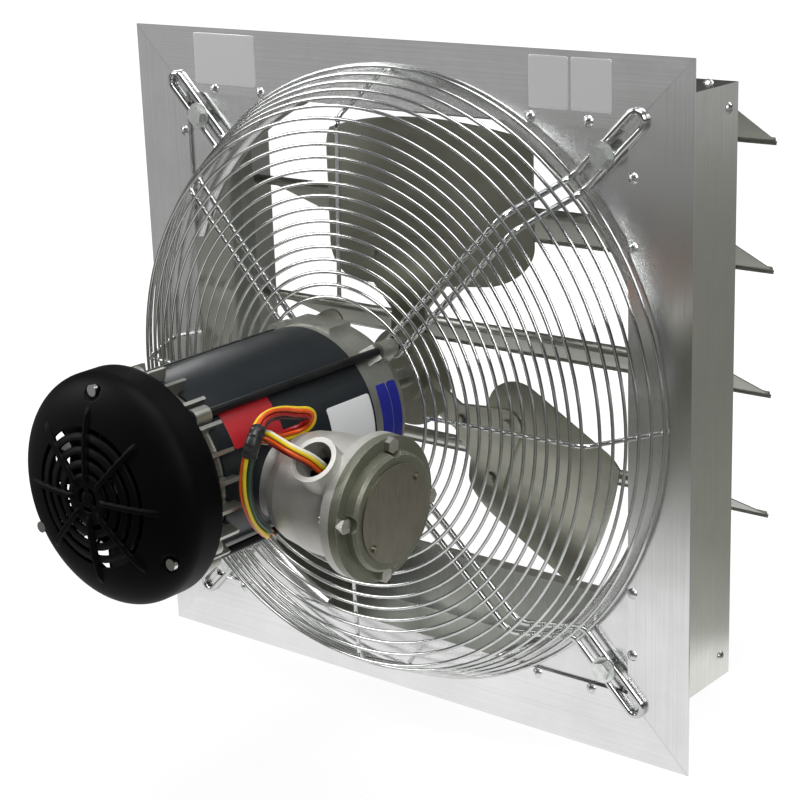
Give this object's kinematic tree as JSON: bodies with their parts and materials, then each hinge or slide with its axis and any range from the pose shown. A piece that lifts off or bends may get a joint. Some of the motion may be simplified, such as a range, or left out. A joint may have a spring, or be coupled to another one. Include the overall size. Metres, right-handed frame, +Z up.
{
  "type": "exhaust fan",
  "caption": "Square wall-mounted exhaust fan: louvred aluminium sleeve, wire guard that carries an enclosed motor, and a propeller behind it.",
  "frame": {"origin": "on the fan axis, in the plane of the wall flange's back", "axes": "+X to the right seen from the motor side, +Y outdoors through the wall along the fan axis, +Z up; -Y is the motor side"},
  "size_m": [0.527, 0.5158, 0.527],
  "materials": {
    "flange_sheet": "mill finish, lightly brushed",
    "sleeve_sheet": "mill finish",
    "gusset_sheet": "mill finish",
    "rivets": "bright",
    "shutter_frame": "dull, weathered",
    "nylon": "natural nylon",
    "louvre_sheet": "mill finish",
    "rod_steel": "zinc plated",
    "guard_wire": "bright plated wire",
    "dull_bolts": "dull zinc",
    "shell_paint": "satin dark slate",
    "motor_casting": "die cast, as cast",
    "black_rods": "black oxide",
    "bright_screws": "bright zinc",
    "fan_cover_plastic": "satin black moulding",
    "lamination": "stacked laminations",
    "copper_wire": "varnished copper",
    "bearing_steel": "ground",
    "phenolic": "brown phenolic",
    "governor_brass": "plain",
    "shaft_steel": "ground",
    "fan_plastic": "black",
    "propeller_metal": "dull sheet",
    "box_casting": "sand cast, warm grey",
    "box_plate": "thin plate",
    "box_bolts": "dull zinc",
    "lead_insulation": "insulated stranded wires in several colours",
    "tie_plastic": "black"
  },
  "bodies": {
    "fan_frame": {"flange_top": "flange_sheet", "flange_bottom": "flange_sheet", "flange_left": "flange_sheet", "flange_right": "flange_sheet", "sleeve_top": "sleeve_sheet", "sleeve_bottom": "sleeve_sheet", "sleeve_left": "sleeve_sheet", "sleeve_right": "sleeve_sheet", "corner_gussets": "gusset_sheet", "gusset_rivets": "rivets", "sleeve_rivets": "rivets", "jamb_left": "shutter_frame", "jamb_right": "shutter_frame", "top_rail": "shutter_frame", "bottom_sill": "shutter_frame", "louvre_bushes": "nylon", "guard_face_rings": "guard_wire", "guard_skirt_rings": "guard_wire", "guard_spokes": "guard_wire", "guard_struts": "guard_wire", "strut_bolts": "dull_bolts", "strut_washers": "dull_bolts", "strut_nuts": "dull_bolts", "motor_shell": "shell_paint", "front_bell": "motor_casting", "rear_bell": "motor_casting", "through_bolts": "black_rods", "through_nuts": "bright_screws", "fan_cover": "fan_cover_plastic", "fan_cover_screws": "bright_screws", "stator_core": "lamination", "stator_windings": "copper_wire", "bearing_outer_races": "bearing_steel", "bearing_balls": "bearing_steel", "switch_plate": "phenolic", "conduit_box": "box_casting", "conduit_cover": "box_casting", "cover_plate": "box_plate", "cover_bolts": "box_bolts", "motor_leads": "lead_insulation", "lead_tie": "tie_plastic"},
    "rotor": {"motor_shaft": "shaft_steel", "rotor_core": "lamination", "bearing_inner_races": "bearing_steel", "switch_governor": "governor_brass", "cooling_fan": "fan_plastic", "propeller_spider": "propeller_metal", "propeller_blades": "propeller_metal", "blade_rivets": "propeller_metal", "hub_set_screw": "shaft_steel"},
    "shutter_blade_1": {"louvre_1": "louvre_sheet", "louvre_rod_1": "rod_steel"},
    "shutter_blade_2": {"louvre_2": "louvre_sheet", "louvre_rod_2": "rod_steel"},
    "shutter_blade_3": {"louvre_3": "louvre_sheet", "louvre_rod_3": "rod_steel"},
    "shutter_blade_4": {"louvre_4": "louvre_sheet", "louvre_rod_4": "rod_steel"}
  },
  "joints": [
    {"name": "fan_spin", "type": "hinge", "parent": "fan_frame", "child": "rotor", "pos_m": [0, 0, 0], "axis": [0, 1, 0], "continuous": true},
    {"name": "louvre_1_swing", "type": "hinge", "parent": "fan_frame", "child": "shutter_blade_1", "pos_m": [0, 0.09, 0.223], "axis": [1, 0, 0], "range_deg": [-58, 20]},
    {"name": "louvre_2_swing", "type": "hinge", "parent": "fan_frame", "child": "shutter_blade_2", "pos_m": [0, 0.09, 0.123], "axis": [1, 0, 0], "range_deg": [-58, 20]},
    {"name": "louvre_3_swing", "type": "hinge", "parent": "fan_frame", "child": "shutter_blade_3", "pos_m": [0, 0.09, 0.023], "axis": [1, 0, 0], "range_deg": [-58, 20]},
    {"name": "louvre_4_swing", "type": "hinge", "parent": "fan_frame", "child": "shutter_blade_4", "pos_m": [0, 0.09, -0.077], "axis": [1, 0, 0], "range_deg": [-58, 20]}
  ],
  "couplings": [
    {"joint": "louvre_2_swing", "follows": "louvre_1_swing", "ratio": 1},
    {"joint": "louvre_3_swing", "follows": "louvre_1_swing", "ratio": 1},
    {"joint": "louvre_4_swing", "follows": "louvre_1_swing", "ratio": 1}
  ]
}
